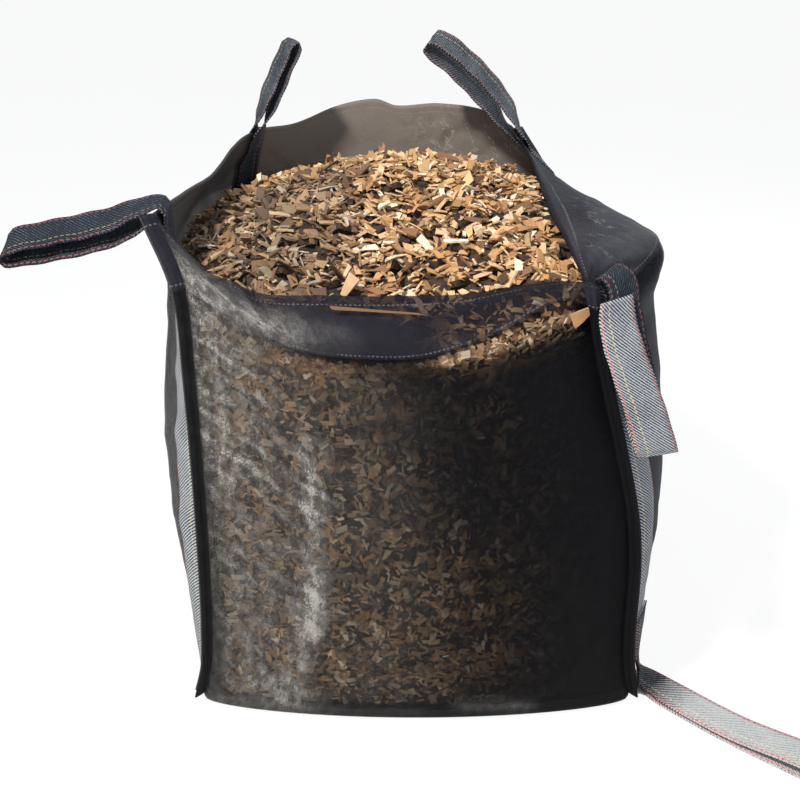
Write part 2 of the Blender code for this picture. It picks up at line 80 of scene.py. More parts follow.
bag_middle = (0, 0, 0.6)
panel_light("high_key", (-1.5, -2.2, 4.0), bag_middle, 0.35, 250, (1.0, 0.97, 0.92))
panel_light("front_fill", (0.6, -3.6, 1.8), bag_middle, 2.0, 34, (0.94, 0.97, 1.0))
panel_light("back_rim", (2.2, 2.6, 2.6), bag_middle, 1.4, 60)


# Materials as written maths
# One socket of a material can be added, multiplied and so on with numbers and other sockets.


class Wire:
    """An output socket that takes part in sums."""

    def __init__(self, finish, socket):
        self.finish = finish
        self.socket = socket

    def maths(self, operation, *values):
        return self.finish.node("ShaderNodeMath", values, operation=operation)

    def __add__(self, other):
        return self.maths("ADD", self, other)

    def __sub__(self, other):
        return self.maths("SUBTRACT", self, other)

    def __rsub__(self, other):
        return self.maths("SUBTRACT", other, self)

    def __mul__(self, other):
        return self.maths("MULTIPLY", self, other)

    __radd__ = __add__
    __rmul__ = __mul__

    def ramp(self, low, high):
        """0 below low, 1 above high and smooth between."""
        return self.finish.node(
            "ShaderNodeMapRange",
            {"Value": self, "From Min": low, "From Max": high},
            interpolation_type="SMOOTHSTEP",
        )

    def wave(self, period):
        """A sine from 0 to 1."""
        return self.maths("SINE", self * (2 * pi / period)) * 0.5 + 0.5

    def away_from(self, middle):
        """How far it is from a value, either way."""
        return self.maths("ABSOLUTE", self - middle)

    def band(self, middle, half_width):
        """1 on a narrow band round the middle and 0 away from it."""
        return 1 - self.away_from(middle).ramp(half_width * 0.6, half_width)

    def at_most(self, limit):
        return self.maths("MINIMUM", self, limit)


class Finish:
    """A material under construction."""

    def __init__(self, name):
        self.material = bpy.data.materials.new(name)
        self.material.use_nodes = True
        self.tree = self.material.node_tree
        self.shader = self.tree.nodes["Principled BSDF"]

    def plug(self, value, socket):
        if isinstance(value, Wire):
            self.tree.links.new(value.socket, socket)
        else:
            socket.default_value = value

    def node(self, kind, values=(), output=0, **settings):
        made = self.tree.nodes.new(kind)
        for key, setting in settings.items():
            setattr(made, key, setting)
        pairs = values.items() if isinstance(values, dict) else enumerate(values)
        for key, value in pairs:
            self.plug(value, made.inputs[key])
        return Wire(self, made.outputs[output])

    def attribute(self, name, output="Fac"):
        return self.node("ShaderNodeAttribute", attribute_name=name, output=output)

    def uv(self):
        return self.node("ShaderNodeUVMap", uv_map="cloth")

    def place(self):
        return self.node("ShaderNodeTexCoord", output="Object")

    def split(self, vector):
        across = self.node("ShaderNodeSeparateXYZ", [vector])
        return across, Wire(self, across.socket.node.outputs[1])

    def stretched(self, vector, scale):
        return self.node("ShaderNodeMapping", {"Vector": vector, "Scale": scale})

    def cloud(self, vector, scale, detail=2.0, rough=0.5):
        return self.node(
            "ShaderNodeTexNoise",
            {"Vector": vector, "Scale": scale, "Detail": detail, "Roughness": rough},
        )

    def mix(self, share, a, b):
        made = self.node("ShaderNodeMix", {"Factor": share}, output=2, data_type="RGBA")
        for value, slot in ((a, 6), (b, 7)):
            if not isinstance(value, Wire):
                value = (*value, 1)
            self.plug(value, made.socket.node.inputs[slot])
        return made

    def bump(self, height, distance, strength=1.0, under=None):
        values = {"Height": height, "Distance": distance, "Strength": strength}
        if under:
            values["Normal"] = under
        return self.node("ShaderNodeBump", values)

    def surface(self, **values):
        for key, value in values.items():
            if isinstance(value, tuple) and len(value) == 3:
                value = (*value, 1)
            self.plug(value, self.shader.inputs[key.replace("_", " ")])
        return self.material


# Floor
# A plain matt white floor, wide enough to meet the white world behind the bag. The camera
# sees it mostly at full white, and the rest of it keeps the bag's shadow.

floor_reach = 30
floor_drop = 0.001
floor_colour = (0.92, 0.92, 0.92)
full_white_share = 0.9
sky_colour = (0.42, 0.46, 0.52, 1)

ground = bmesh.new()
bmesh.ops.create_grid(ground, x_segments=1, y_segments=1, size=floor_reach)
bmesh.ops.translate(ground, verts=ground.verts, vec=(0, 0, -floor_drop))
ground_mesh = bpy.data.meshes.new("floor")
ground.to_mesh(ground_mesh)
ground.free()
floor = placed("floor", ground_mesh)
floor_paint = Finish("floor_paint")
ground_mesh.materials.append(floor_paint.surface(Base_Color=floor_colour, Roughness=0.9))
white = floor_paint.node("ShaderNodeEmission", {"Color": (1, 1, 1, 1), "Strength": 1.0})
lit = Wire(floor_paint, floor_paint.shader.outputs[0])
seen_share = floor_paint.node("ShaderNodeLightPath") * full_white_share
shown = floor_paint.node("ShaderNodeMixShader", {0: seen_share, 1: lit, 2: white})
floor_paint.plug(shown, floor_paint.tree.nodes["Material Output"].inputs["Surface"])

world = bpy.data.worlds.new("studio")
bpy.context.scene.world = world
world.use_nodes = True
sky = world.node_tree
rays = sky.nodes.new("ShaderNodeLightPath")
seen = sky.nodes.new("ShaderNodeMix")
seen.data_type = "RGBA"
seen.inputs[6].default_value = sky_colour
seen.inputs[7].default_value = (1, 1, 1, 1)
sky.links.new(rays.outputs["Is Camera Ray"], seen.inputs["Factor"])
sky.links.new(seen.outputs[2], sky.nodes["Background"].inputs["Color"])
bpy.context.scene.view_settings.view_transform = "Standard"


# Shape of the bag
# Four walls between four corners, each corner leaning its own way at six heights. The lower
# four heights bulge with the fill, and the neck and the rim have lines of their own.

base_width = 0.88
base_depth = 0.88
rim_height = 1.055
cloth = 0.003
flange = 0.024
fold_radius = 0.015
station_shares = (0.0, 0.12, 0.40, 0.68, 0.84, 1.0)
station_heights = (cloth / 2 + fold_radius, 0.1298, 0.4199, 0.7501)
bulge_powers = (0.50, 0.60, 0.72, 0.85)
filled_stations = len(station_heights)
neck_station = filled_stations
hem_start = 0.84
corner_pull = {
    "front_left": ((0, 0), (0.026, -0.024), (0.036, -0.030), (0.034, -0.030),
                   (0.026, -0.026, 0.150), (-0.024, 0.004, 0.025)),
    "front_right": ((0, 0), (0.020, -0.014), (0.032, -0.016), (0.112, -0.012),
                    (0.138, -0.010, 0.190), (0.142, 0.008, 0.150)),
    "back_right": ((0, 0), (0.018, -0.020), (0.030, -0.030), (0.075, -0.020),
                   (0.128, -0.004, 0.165), (0.200, 0.006, 0.050)),
    "back_left": ((0, 0), (0.018, -0.020), (0.030, -0.030), (0.038, -0.020),
                  (0.052, -0.008, 0.165), (0.078, 0.004, 0.050)),
}
corner_sides = {"front_left": (-1, -1), "front_right": (1, -1),
                "back_right": (1, 1), "back_left": (-1, 1)}
walls = {
    "front": {
        "ends": ("front_left", "front_right"), "outward": (0, -1, 0), "chip_line": 0.80,
        "bulge": (0.072, 0.080, 0.084, 0.074),
        "neck": ((0, 0, 0), (0.08, 0.004, -0.030), (0.15, 0.018, -0.058), (0.29, 0.050, -0.088),
                 (0.43, 0.061, -0.094), (0.60, 0.064, -0.084), (0.77, 0.057, -0.036),
                 (0.92, 0.026, 0.016), (1, 0, 0)),
        "rim": ((0, 0, 0), (0.06, 0.004, -0.046), (0.12, -0.004, -0.096), (0.18, -0.034, -0.118),
                (0.25, 0.046, -0.100), (0.40, 0.062, -0.078), (0.54, 0.046, -0.068),
                (0.72, -0.010, -0.062), (0.90, -0.018, -0.022), (1, 0, 0)),
    },
    "right": {
        "ends": ("front_right", "back_right"), "outward": (1, 0, 0), "chip_line": 0.82,
        "bulge": (0.014, 0.085, 0.136, 0.160),
        "neck": ((0, 0, 0), (0.16, 0.118, 0.020), (0.32, 0.172, 0.030), (0.55, 0.120, 0.020),
                 (0.8, 0.045, 0.010), (1, 0, 0)),
        "rim": ((0, 0, 0), (0.12, -0.016, 0.026), (0.3, -0.020, 0.026), (0.55, -0.004, 0.006),
                (0.8, 0.012, -0.014), (1, 0, 0)),
    },
    "back": {
        "ends": ("back_right", "back_left"), "outward": (0, 1, 0), "chip_line": 0.78,
        "bulge": (0.040, 0.080, 0.115, 0.120),
        "neck": ((0, 0, 0), (0.25, 0.100, 0.010), (0.5, 0.125, 0.010), (0.75, 0.095, 0.010),
                 (1, 0, 0)),
        "rim": ((0, 0, 0), (0.12, 0.060, 0.032), (0.3, 0.112, 0.038), (0.47, 0.130, 0.030),
                (0.56, 0.134, 0.046), (0.72, 0.118, 0.030), (0.88, 0.070, -0.002), (1, 0, 0)),
    },
    "left": {
        "ends": ("back_left", "front_left"), "outward": (-1, 0, 0), "chip_line": 0.80,
        "bulge": (0.014, 0.085, 0.142, 0.114),
        "neck": ((0, 0, 0), (0.25, 0.082, 0.000), (0.5, 0.086, 0.000), (0.78, 0.062, 0.000),
                 (1, 0, 0)),
        "rim": ((0, 0, 0), (0.2, 0.012, 0.004), (0.5, 0.006, -0.018), (0.8, 0.000, -0.006),
                (1, 0, 0)),
    },
}


def curve_through(places, values, share):
    """Values at shares on the smooth curve through values at places."""
    places = np.asarray(places, float)
    values = np.asarray(values, float)
    share = np.clip(share, places[0], places[-1])
    steps = np.diff(places)
    wide = steps.reshape((-1,) + (1,) * (values.ndim - 1))
    slopes = np.empty_like(values)
    slopes[0] = (values[1] - values[0]) / wide[0]
    slopes[-1] = (values[-1] - values[-2]) / wide[-1]
    slopes[1:-1] = (values[2:] - values[:-2]) / (wide[1:] + wide[:-1])
    i = np.clip(np.searchsorted(places, share, side="right") - 1, 0, len(steps) - 1)
    t = (share - places[i]) / steps[i]
    span = steps[i]
    if values.ndim > 1:
        t, span = t[:, None], span[:, None]
    own = np.arange(len(i))

    def at(table, k):
        return table[k, own] if table.ndim == 3 else table[k]

    before, after = at(values, i), at(values, i + 1)
    leaving, arriving = at(slopes, i), at(slopes, i + 1)
    start = before * (2 * t**3 - 3 * t**2 + 1) + leaving * span * (t**3 - 2 * t**2 + t)
    return start + after * (3 * t**2 - 2 * t**3) + arriving * span * (t**3 - t**2)


def corner_point(corner, station):
    """One corner of the bag at one station."""
    pull = corner_pull[corner][station]
    side_x, side_y = corner_sides[corner]
    height = station_heights[station] if station < filled_stations else rim_height - pull[2]
    x = side_x * (base_width / 2 - pull[0])
    y = side_y * (base_depth / 2 - pull[1])
    return np.array((x, y, height))


def wall_points(wall, along, up):
    """Points on a wall's middle surface, for equal arrays of shares along and up."""
    outward = np.array(wall["outward"], float)
    stations = []
    for station in range(len(station_shares)):
        first, last = (corner_point(corner, station) for corner in wall["ends"])
        lift = np.zeros_like(along)
        if station < filled_stations:
            swell = np.sin(pi * np.clip(along, 0, 1)) ** bulge_powers[station]
            push = wall["bulge"][station] * swell
        else:
            line = np.array(wall["neck"] if station == neck_station else wall["rim"])
            push = curve_through(line[:, 0], line[:, 1], along)
            lift = curve_through(line[:, 0], line[:, 2], along)
        points = first + (last - first) * along[:, None] + outward * push[:, None]
        points[:, 2] += lift
        stations.append(points)
    return curve_through(station_shares, np.array(stations), up)


def unit(vectors):
    return vectors / np.maximum(np.linalg.norm(vectors, axis=-1, keepdims=True), 1e-9)


def wall_normals(wall, along, up):
    """The outward directions at those points."""
    step = 0.01
    before, after = (wall_points(wall, np.clip(along + d, 0, 1), up) for d in (-step, step))
    below, above = (wall_points(wall, along, np.clip(up + d, 0, 1)) for d in (-step, step))
    return unit(np.cross(after - before, above - below))


def chance_field(points, scale):
    """Smooth noise from -1 to 1 at points."""
    return np.array([noise.noise(Vector(p) * scale) for p in points])


# Creases of the cloth
# Each crease runs between two places of a wall: share along and share up, then its half
# width and height in metres. A negative height is a valley.

creases = {
    "front": (
        (0.02, 0.90, 0.20, 0.66, 0.020, 0.007), (0.05, 0.80, 0.26, 0.56, 0.016, -0.005),
        (0.02, 0.55, 0.26, 0.44, 0.014, 0.004), (0.03, 0.48, 0.28, 0.36, 0.012, 0.004),
        (0.04, 0.42, 0.30, 0.28, 0.012, 0.003), (0.10, 0.20, 0.30, 0.10, 0.012, 0.004),
        (0.28, 0.55, 0.30, 0.06, 0.030, -0.006), (0.36, 0.60, 0.40, 0.10, 0.030, 0.004),
        (0.98, 0.86, 0.70, 0.72, 0.018, 0.006), (0.97, 0.80, 0.74, 0.60, 0.016, -0.004),
        (0.99, 0.66, 0.78, 0.50, 0.016, 0.005), (0.98, 0.48, 0.80, 0.36, 0.014, 0.003),
        (0.55, 0.62, 0.92, 0.54, 0.014, 0.003), (0.96, 0.20, 0.74, 0.06, 0.016, 0.004),
    ),
    "right": (
        (0.03, 0.97, 0.42, 0.80, 0.022, 0.007), (0.05, 0.90, 0.36, 0.70, 0.018, -0.006),
        (0.30, 0.95, 0.62, 0.86, 0.016, 0.006), (0.97, 0.92, 0.60, 0.74, 0.018, 0.006),
        (0.10, 0.60, 0.50, 0.52, 0.020, 0.005), (0.15, 0.30, 0.60, 0.20, 0.020, 0.004),
        (0.95, 0.50, 0.60, 0.40, 0.020, 0.004),
    ),
    "back": (
        (0.04, 0.92, 0.26, 0.80, 0.018, 0.006), (0.10, 0.96, 0.40, 0.84, 0.014, 0.005),
        (0.96, 0.90, 0.72, 0.74, 0.018, 0.006), (0.30, 0.94, 0.34, 0.80, 0.014, -0.005),
        (0.05, 0.50, 0.40, 0.40, 0.020, 0.004), (0.95, 0.30, 0.60, 0.16, 0.020, 0.004),
    ),
    "left": (
        (0.97, 0.90, 0.70, 0.70, 0.020, 0.006), (0.96, 0.70, 0.72, 0.56, 0.018, 0.005),
        (0.04, 0.92, 0.30, 0.76, 0.018, 0.006), (0.95, 0.40, 0.60, 0.30, 0.018, 0.004),
        (0.92, 0.55, 0.60, 0.44, 0.016, 0.004),
    ),
}
crease_bow = 0.02
crease_fade = 0.7
ripples = ((0.0028, 7.0, 1.6), (0.0011, 22.0, 1.8))
flat_margin = 0.05


def crease_relief(name, along, up):
    """How far the cloth stands off its smooth shape, in metres."""
    spots = np.stack((along * base_depth, up), axis=1)
    relief = np.zeros(len(along))
    for a0, u0, a1, u1, half, height in creases[name]:
        start = np.array((a0 * base_depth, u0))
        run = np.array((a1 * base_depth, u1)) - start
        share = np.clip((spots - start) @ run / (run @ run), 0, 1)
        square_to_run = np.array((-run[1], run[0]))
        bow = crease_bow * np.sin(share * pi)[:, None] * square_to_run / np.linalg.norm(run)
        away = np.linalg.norm(spots - start - share[:, None] * run - bow, axis=1)
        relief += height * np.exp(-((away / half) ** 2)) * (1 - crease_fade * share)
    flat = np.stack((spots[:, 0], spots[:, 1], np.full(len(along), len(name) * 1.3)), axis=1)
    for height, scale, squeeze in ripples:
        relief += height * chance_field(flat * (1.0, squeeze, 1), scale)
    edge = np.minimum(along, 1 - along) / flat_margin
    foot = up / flat_margin
    return relief * np.clip(edge, 0, 1) * np.clip(foot, 0, 1)


def cloth_thickness(up):
    return np.where(up >= hem_start, 2 * cloth, cloth)


seam_gap = 0.0003


def seam_line(corner, wall, along, up, across_sign, out):
    """Points at a corner seam, moved on to one of its two cloths and out along the flange."""
    side_x, side_y = corner_sides[corner]
    outward = unit(np.array((side_x, side_y, 0.0)))
    ends = np.full_like(up, along)
    step = 0.02
    above, below = (wall_points(wall, ends, np.clip(up + d, 0, 1)) for d in (step, -step))
    across = unit(np.cross(outward, above - below))
    across *= np.sign(across @ np.array((side_x, -side_y, 0.0)))[:, None]
    half = cloth_thickness(up) / 2 + seam_gap
    return wall_points(wall, ends, up) + across * (across_sign * half)[:, None] + outward * out


# Making cloth
# A sheet is a fine grid through rows of points, with its place on the cloth as a UV map.
# Its thickness is doubled on the rows of a turned hem.


def cloth_object(name, rows, uv_rows, thickness, paint, marks, hem_rows=(), dropped=()):
    """A sheet of cloth or webbing as a closed solid, with marks as named values of each point."""
    count_along, count_across = len(rows), len(rows[0])
    sheet = bmesh.new()
    bmesh.ops.create_grid(sheet, x_segments=count_across - 1, y_segments=count_along - 1, size=1)
    sheet.verts.ensure_lookup_table()
    layers = {key: sheet.verts.layers.float.new(key) for key in marks}
    weights = sheet.verts.layers.deform.verify()
    for i, vert in enumerate(sheet.verts):
        row, column = divmod(i, count_across)
        vert.co = rows[row][column]
        for key, layer in layers.items():
            vert[layer] = float(marks[key][row][column])
        if row in hem_rows:
            vert[weights][0] = 1.0
    uv = sheet.loops.layers.uv.new("cloth")
    for face in sheet.faces:
        face.smooth = True
        for corner in face.loops:
            row, column = divmod(corner.vert.index, count_across)
            corner[uv].uv = uv_rows[row][column]
    sheet.faces.ensure_lookup_table()
    doomed = [sheet.faces[row * (count_across - 1) + column] for row, column in dropped]
    bmesh.ops.delete(sheet, geom=doomed, context="FACES")
    mesh = bpy.data.meshes.new(name)
    sheet.to_mesh(mesh)
    sheet.free()
    piece = placed(name, mesh)
    mesh.materials.append(paint)
    solid = piece.modifiers.new("thickness", "SOLIDIFY")
    solid.thickness = thickness
    solid.offset = 0
    if hem_rows:
        piece.vertex_groups.new(name="hem")
        solid.thickness = 2 * thickness
        solid.vertex_group = "hem"
        solid.thickness_vertex_group = 0.5
    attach(piece, "root")
    return piece


def spot_mask(along, up, spots):
    """Soft marks on a wall: each has a start and an end place, a half width and a strength."""
    here = np.stack((along * base_depth, up), axis=1)
    total = np.zeros(len(along))
    for a0, u0, a1, u1, half, strength in spots:
        start = np.array((a0 * base_depth, u0))
        run = np.array((a1 * base_depth, u1)) - start
        share = np.clip((here - start) @ run / (run @ run + 1e-9), 0, 1)
        away = np.linalg.norm(here - start - share[:, None] * run, axis=1)
        total += strength * np.exp(-((away / half) ** 2))
    return total


# Mesh cloth
# Black plastic tape in an open plain weave, see-through between its threads and dusty where it
# has rubbed. Some walls are painted paler as painted light: light shining through the back wall
# from behind and sun on the left wall. The hem's two stitch lines are drawn in it.

tape_across = 0.0052
tape_along = 0.0046
fold_line_period = 0.043
hem_stitch = hem_start + 0.010
rim_stitch = 0.978
stitch_period = 0.0095
hem_colour = (0.012, 0.0115, 0.0165)
# Colour of the painted light: the lit brown-grey of cloth with light shining through it
painted_light_colour = (0.205, 0.178, 0.152)
thread_colour = (0.34, 0.33, 0.35)
thin_dust_share = 0.66


def mesh_paint(name, tint, dust_colour):
    finish = Finish(name)
    spot = finish.uv()
    u, v = finish.split(spot)
    dust, cover, folds, painted_light, scribble = (
        finish.attribute(key) for key in ("dust", "cover", "folds", "painted_light", "scribble")
    )
    speck = finish.cloud(spot, 330, 2, 0.8)
    smear = finish.cloud(finish.stretched(spot, (12, 7, 1)), 3.5, 5, 0.74)
    wobble = finish.cloud(spot, 6, 3, 0.6)
    patchy = finish.cloud(spot, 16, 3, 0.6)
    weave = u.wave(tape_across) * 0.5 + v.wave(tape_along) * 0.5
    grain = speck.ramp(0.42, 0.62)
    lines = (v + u * 0.5 + wobble * 0.07).wave(fold_line_period).ramp(0.55, 1.0)
    loops = 1 - patchy.away_from(0.5).ramp(0.0, 0.018)
    dirt = dust * (smear.ramp(0.38, 0.66) * 0.60 + 0.36) * (grain * 0.5 + 0.45)
    dirt = dirt + folds * lines * patchy.ramp(0.30, 0.58) * (grain * 0.6 + 0.4)
    dirt = (dirt + scribble * loops * 0.75).at_most(1.0)
    stitch = v.band(hem_stitch, 0.0022) + v.band(rim_stitch, 0.0018)
    worn_thread = patchy.ramp(0.35, 0.55) * 0.20 + 0.05
    stitch = stitch * u.wave(stitch_period).ramp(0.35, 0.6) * worn_thread
    hem = v.ramp(hem_start - 0.002, hem_start + 0.002)
    base = finish.mix(hem, tint, hem_colour)
    # Painted light: the cloth is paled towards the lit brown-grey, in grain and patches
    base = finish.mix(painted_light * (patchy * 0.2 + grain * 0.3 + 0.68), base, painted_light_colour)
    thin_dust = tuple(thin_dust_share * part for part in dust_colour)
    film = finish.mix(dirt.ramp(0.35, 1.0), thin_dust, dust_colour)
    base = finish.mix(dirt * 0.8, base, film)
    base = finish.mix(stitch, base, thread_colour)
    hollow = patchy.ramp(0.30, 0.75) * 0.16 - 0.08
    alpha = (cover + hollow * (1 - cover) * 2 + dirt * 0.42 + stitch * 0.5).at_most(1.0)
    relief = finish.bump(weave * 0.5 + speck * 0.5, 0.0010, 0.5)
    relief = finish.bump(finish.cloud(spot, 24, 3, 0.6), 0.004, 0.45, under=relief)
    return finish.surface(Base_Color=base, Roughness=0.6, Alpha=alpha, Normal=relief,
                          Specular_IOR_Level=0.07)


long_paint = mesh_paint("mesh_cloth_paint", (0.0030, 0.0029, 0.0036), (0.47, 0.44, 0.40))
side_paint = mesh_paint("side_cloth_paint", (0.0036, 0.0044, 0.0080), (0.30, 0.33, 0.37))


# The long panel
# One length of the mesh runs down the front, under the chips and up the back. Each end is
# turned over and stitched as a hem, and both edges stand out as flanges at the corners.

across_count = 116
up_steps = np.concatenate((np.linspace(1, hem_start, 17), np.linspace(hem_start - 0.006, 0, 80)))
fold_angles = (pi / 8, pi / 4, 3 * pi / 8)
base_steps = np.linspace(0, 1, 12)

# Marks of each wall: start and end place, half width in metres and strength. How closed
# the mesh looks comes first, as a level for the whole wall and then its marks.
# On the front, the first mark closes the mesh over the right third, hiding the chips behind it as
# painted shade.
cover_marks = {
    "front": (0.31, ((0.96, 1.0, 0.97, 0.0, 0.28, 0.53), (0.66, 0.79, 0.93, 0.80, 0.040, -1.2),
                     (0.52, 0.74, 0.60, 0.50, 0.10, 0.20), (0.15, 0.72, 0.17, 0.12, 0.10, -0.07))),
    "right": (0.90, ((0.04, 0.86, 0.50, 0.86, 0.05, -0.45),)),
    "back": (0.90, ((0.0, 0.95, 1.0, 0.95, 0.2, 0.08),)),
    "left": (0.74, ((0.0, 0.98, 1.0, 0.98, 0.16, 0.2),)),
}
hem_cover = {"front": 0.66, "right": 0.86, "back": 0.98, "left": 0.9}
hem_blocks = ((0.34, 0.92, 0.50, 0.92, 0.06, 0.3), (0.70, 0.9, 0.92, 0.9, 0.05, -0.35))
# Share of painted light on each wall: light through the back wall, sun on the left wall
painted_light_walls = {"front": 0.0, "right": 0.0, "back": 0.9, "left": 0.18}
dust_marks = {
    "front": ((0.27, 0.56, 0.245, 0.22, 0.028, 0.9), (0.255, 0.30, 0.19, 0.03, 0.028, 0.7),
              (0.08, 0.78, 0.10, 0.10, 0.145, 0.90), (0.03, 0.84, 0.05, 0.50, 0.03, 0.30),
              (0.12, 0.08, 0.26, 0.03, 0.03, 0.5), (0.40, 0.62, 0.42, 0.08, 0.11, 0.26),
              (0.60, 0.03, 0.75, 0.02, 0.02, 0.4), (0.06, 0.90, 0.26, 0.90, 0.05, 0.85),
              (0.28, 0.92, 0.40, 0.90, 0.035, 0.22)),
    "back": ((0.12, 0.95, 0.30, 0.80, 0.05, 0.30), (0.2, 0.5, 0.6, 0.4, 0.2, 0.25)),
    "right": ((0.1, 0.92, 0.5, 0.86, 0.05, 0.22), (0.3, 0.3, 0.7, 0.3, 0.25, 0.2)),
    "left": ((0.92, 0.9, 0.92, 0.2, 0.05, 0.4), (0.5, 0.5, 0.6, 0.3, 0.25, 0.25)),
}
fold_marks = {"front": ((0.02, 0.76, 0.22, 0.64, 0.06, 0.32), (0.02, 0.60, 0.26, 0.48, 0.08, 0.42),
                        (0.04, 0.38, 0.26, 0.28, 0.06, 0.2)),
              "back": ((0.2, 0.4, 0.5, 0.3, 0.1, 0.5),), "right": (), "left": ()}
scribble_marks = {"back": ((0.03, 0.92, 0.36, 0.90, 0.07, 1.0),), "front": (),
                  "right": ((0.15, 0.93, 0.5, 0.93, 0.03, 0.5),), "left": ()}
foot_band = 0.03
# Share of dust kept on the flanges, kept low so they stay black as painted shade
shaded_flange_dust_share = 0.05


def marks_at(name, along, up):
    """The named values of the cloth at places of a wall."""
    level, spots = cover_marks[name]
    foot = np.clip(1 - up / foot_band, 0, 1)
    cover = np.clip(level + spot_mask(along, up, spots) + foot, 0.02, 1)
    hem = hem_cover[name] + (spot_mask(along, up, hem_blocks) if name == "front" else 0)
    return {
        "dust": spot_mask(along, up, dust_marks[name]),
        "cover": np.where(up >= hem_start, np.clip(hem, 0, 1), cover),
        "folds": spot_mask(along, up, fold_marks[name]),
        # painted light, the same over each wall
        "painted_light": np.full(len(along), painted_light_walls[name]),
        "scribble": spot_mask(along, up, scribble_marks[name]),
    }


def wall_row(name, up, across_sign, shares):
    """A row of a wall with both seam flanges: points, places on the cloth and marks."""
    wall = walls[name]
    ups = np.full_like(shares, up)
    points = wall_points(wall, shares, ups)
    points = points + wall_normals(wall, shares, ups) * crease_relief(name, shares, ups)[:, None]
    one = np.array([up])
    first, last = wall["ends"]
    left = [seam_line(first, wall, 0.0, one, across_sign, flange * k)[0] for k in (1, 0.5, 0)]
    right = [seam_line(last, wall, 1.0, one, across_sign, flange * k)[0] for k in (0, 0.5, 1)]
    every = np.concatenate((np.zeros(3), shares, np.ones(3)))
    marks = marks_at(name, every, np.full_like(every, up))
    # The flanges are closed, as layered cloth, and nearly free of dust, black as painted shade
    for end in (slice(0, 3), slice(-3, None)):
        marks["cover"][end] = 1
        for key in ("dust", "folds", "scribble"):
            marks[key][end] *= shaded_flange_dust_share
    beyond = flange * np.array((-1, -0.5, 0))
    cloth_run = np.concatenate((beyond, shares * base_depth, base_depth - beyond[::-1]))
    places = np.stack((cloth_run, np.full_like(every, up)), axis=1)
    return np.vstack((left, points, right)), places, marks


def listed(rows):
    """The marks of many rows, as one table for each name."""
    return {key: [row[2][key] for row in rows] for key in rows[0][2]}


base_swell = 0.014
base_v_start = -0.04


def long_panel():
    shares = np.linspace(0, 1, across_count)[1:-1]
    rows = []

    def add(name, up, flipped, moved=(0, 0, 0), v_shift=0.0):
        points, places, marks = wall_row(name, up, -1, shares)
        turn = slice(None, None, -1 if flipped else 1)
        marks = {key: values[turn] for key, values in marks.items()}
        rows.append(((points + np.array(moved))[turn], (places + (0, v_shift))[turn], marks))

    for up in up_steps:
        add("front", up, False)
    for angle in fold_angles:
        tuck, drop = fold_radius * (1 - cos(angle)), fold_radius * sin(angle)
        add("front", 0, False, (0, tuck, -drop), -drop)
    front, places, marks = wall_row("front", 0, -1, shares)
    back = wall_row("back", 0, -1, shares)[0][::-1]
    for share in base_steps:
        points = front + (0, fold_radius, 0)
        points = points + (back - (0, fold_radius, 0) - points) * share
        spread = (np.arange(len(points)) - 2) / (len(points) - 5) * 2 - 1
        points[:, 0] += spread * (base_swell * np.sin(pi * share) ** bulge_powers[0] + cloth)
        points[:, 2] = cloth / 2
        rows.append((points, places + (0, base_v_start - share * base_depth), marks))
    for angle in fold_angles[::-1]:
        tuck, drop = fold_radius * (1 - cos(angle)), fold_radius * sin(angle)
        add("back", 0, True, (0, -tuck, -drop), -drop)
    for up in up_steps[::-1]:
        add("back", up, True)
    hem = [i for i, up in enumerate(up_steps) if up >= hem_start]
    total = len(rows)
    first_turn, last_turn = len(up_steps) - 1, total - len(up_steps)
    columns = len(front) - 1
    flanges = (0, 1, columns - 2, columns - 1)
    piece = cloth_object(
        "mesh_front_base_back", [r[0] for r in rows], [r[1] for r in rows], cloth, long_paint,
        listed(rows), set(hem + [total - 1 - i for i in hem]),
        [(row, c) for row in range(first_turn, last_turn) for c in flanges],
    )
    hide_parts("front_base_back_panel")


long_panel()


# The side panels
# Two shorter lengths of the same mesh, each with one turned hem. Each is sewn to the long
# panel down both corners, and its foot stands on the base.

side_shares = np.linspace(0, 1, 78)[1:-1]
foot_heights = (0.012, 0.0095, 0.006, 0.0042)
foot_gap = 0.0009


def side_panel(name):
    rows = [wall_row(name, up, 1, side_shares) for up in up_steps]
    for height in foot_heights:
        points, places, marks = wall_row(name, 0, 1, side_shares)
        rise = station_heights[0] - height
        reach = fold_radius - cloth / 2 - foot_gap
        retreat = fold_radius - max(reach**2 - rise**2, 0) ** 0.5
        points[:, 1] *= (base_depth / 2 - retreat) / (base_depth / 2)
        points[:, 2] = height
        rows.append((points, places - (0, rise), marks))
    hem = [i for i, up in enumerate(up_steps) if up >= hem_start]
    columns = len(rows[0][0]) - 1
    flanges = (0, 1, columns - 2, columns - 1)
    piece = cloth_object(
        f"mesh_{name}_side", [r[0] for r in rows], [r[1] for r in rows], cloth, side_paint,
        listed(rows), set(hem),
        [(row, c) for row in range(len(up_steps) - 3, len(rows) - 1) for c in flanges],
    )
    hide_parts(f"{name}_side_panel")


side_panel("left")
side_panel("right")


# Webbing
# Ribbed twill of light and dark yarns, with red threads near both edges and a yellow one
# off its middle. It is paler where it is worn and where light is painted on it, and darker
# where shade is painted on it.

rib_width = 0.0072
dash_length = 0.011
edge_thread = 0.0355
inner_thread = -0.019
# Pale grey the yarn takes where it is worn and where light is painted on it
worn_and_lit_yarn = (0.46, 0.465, 0.46)


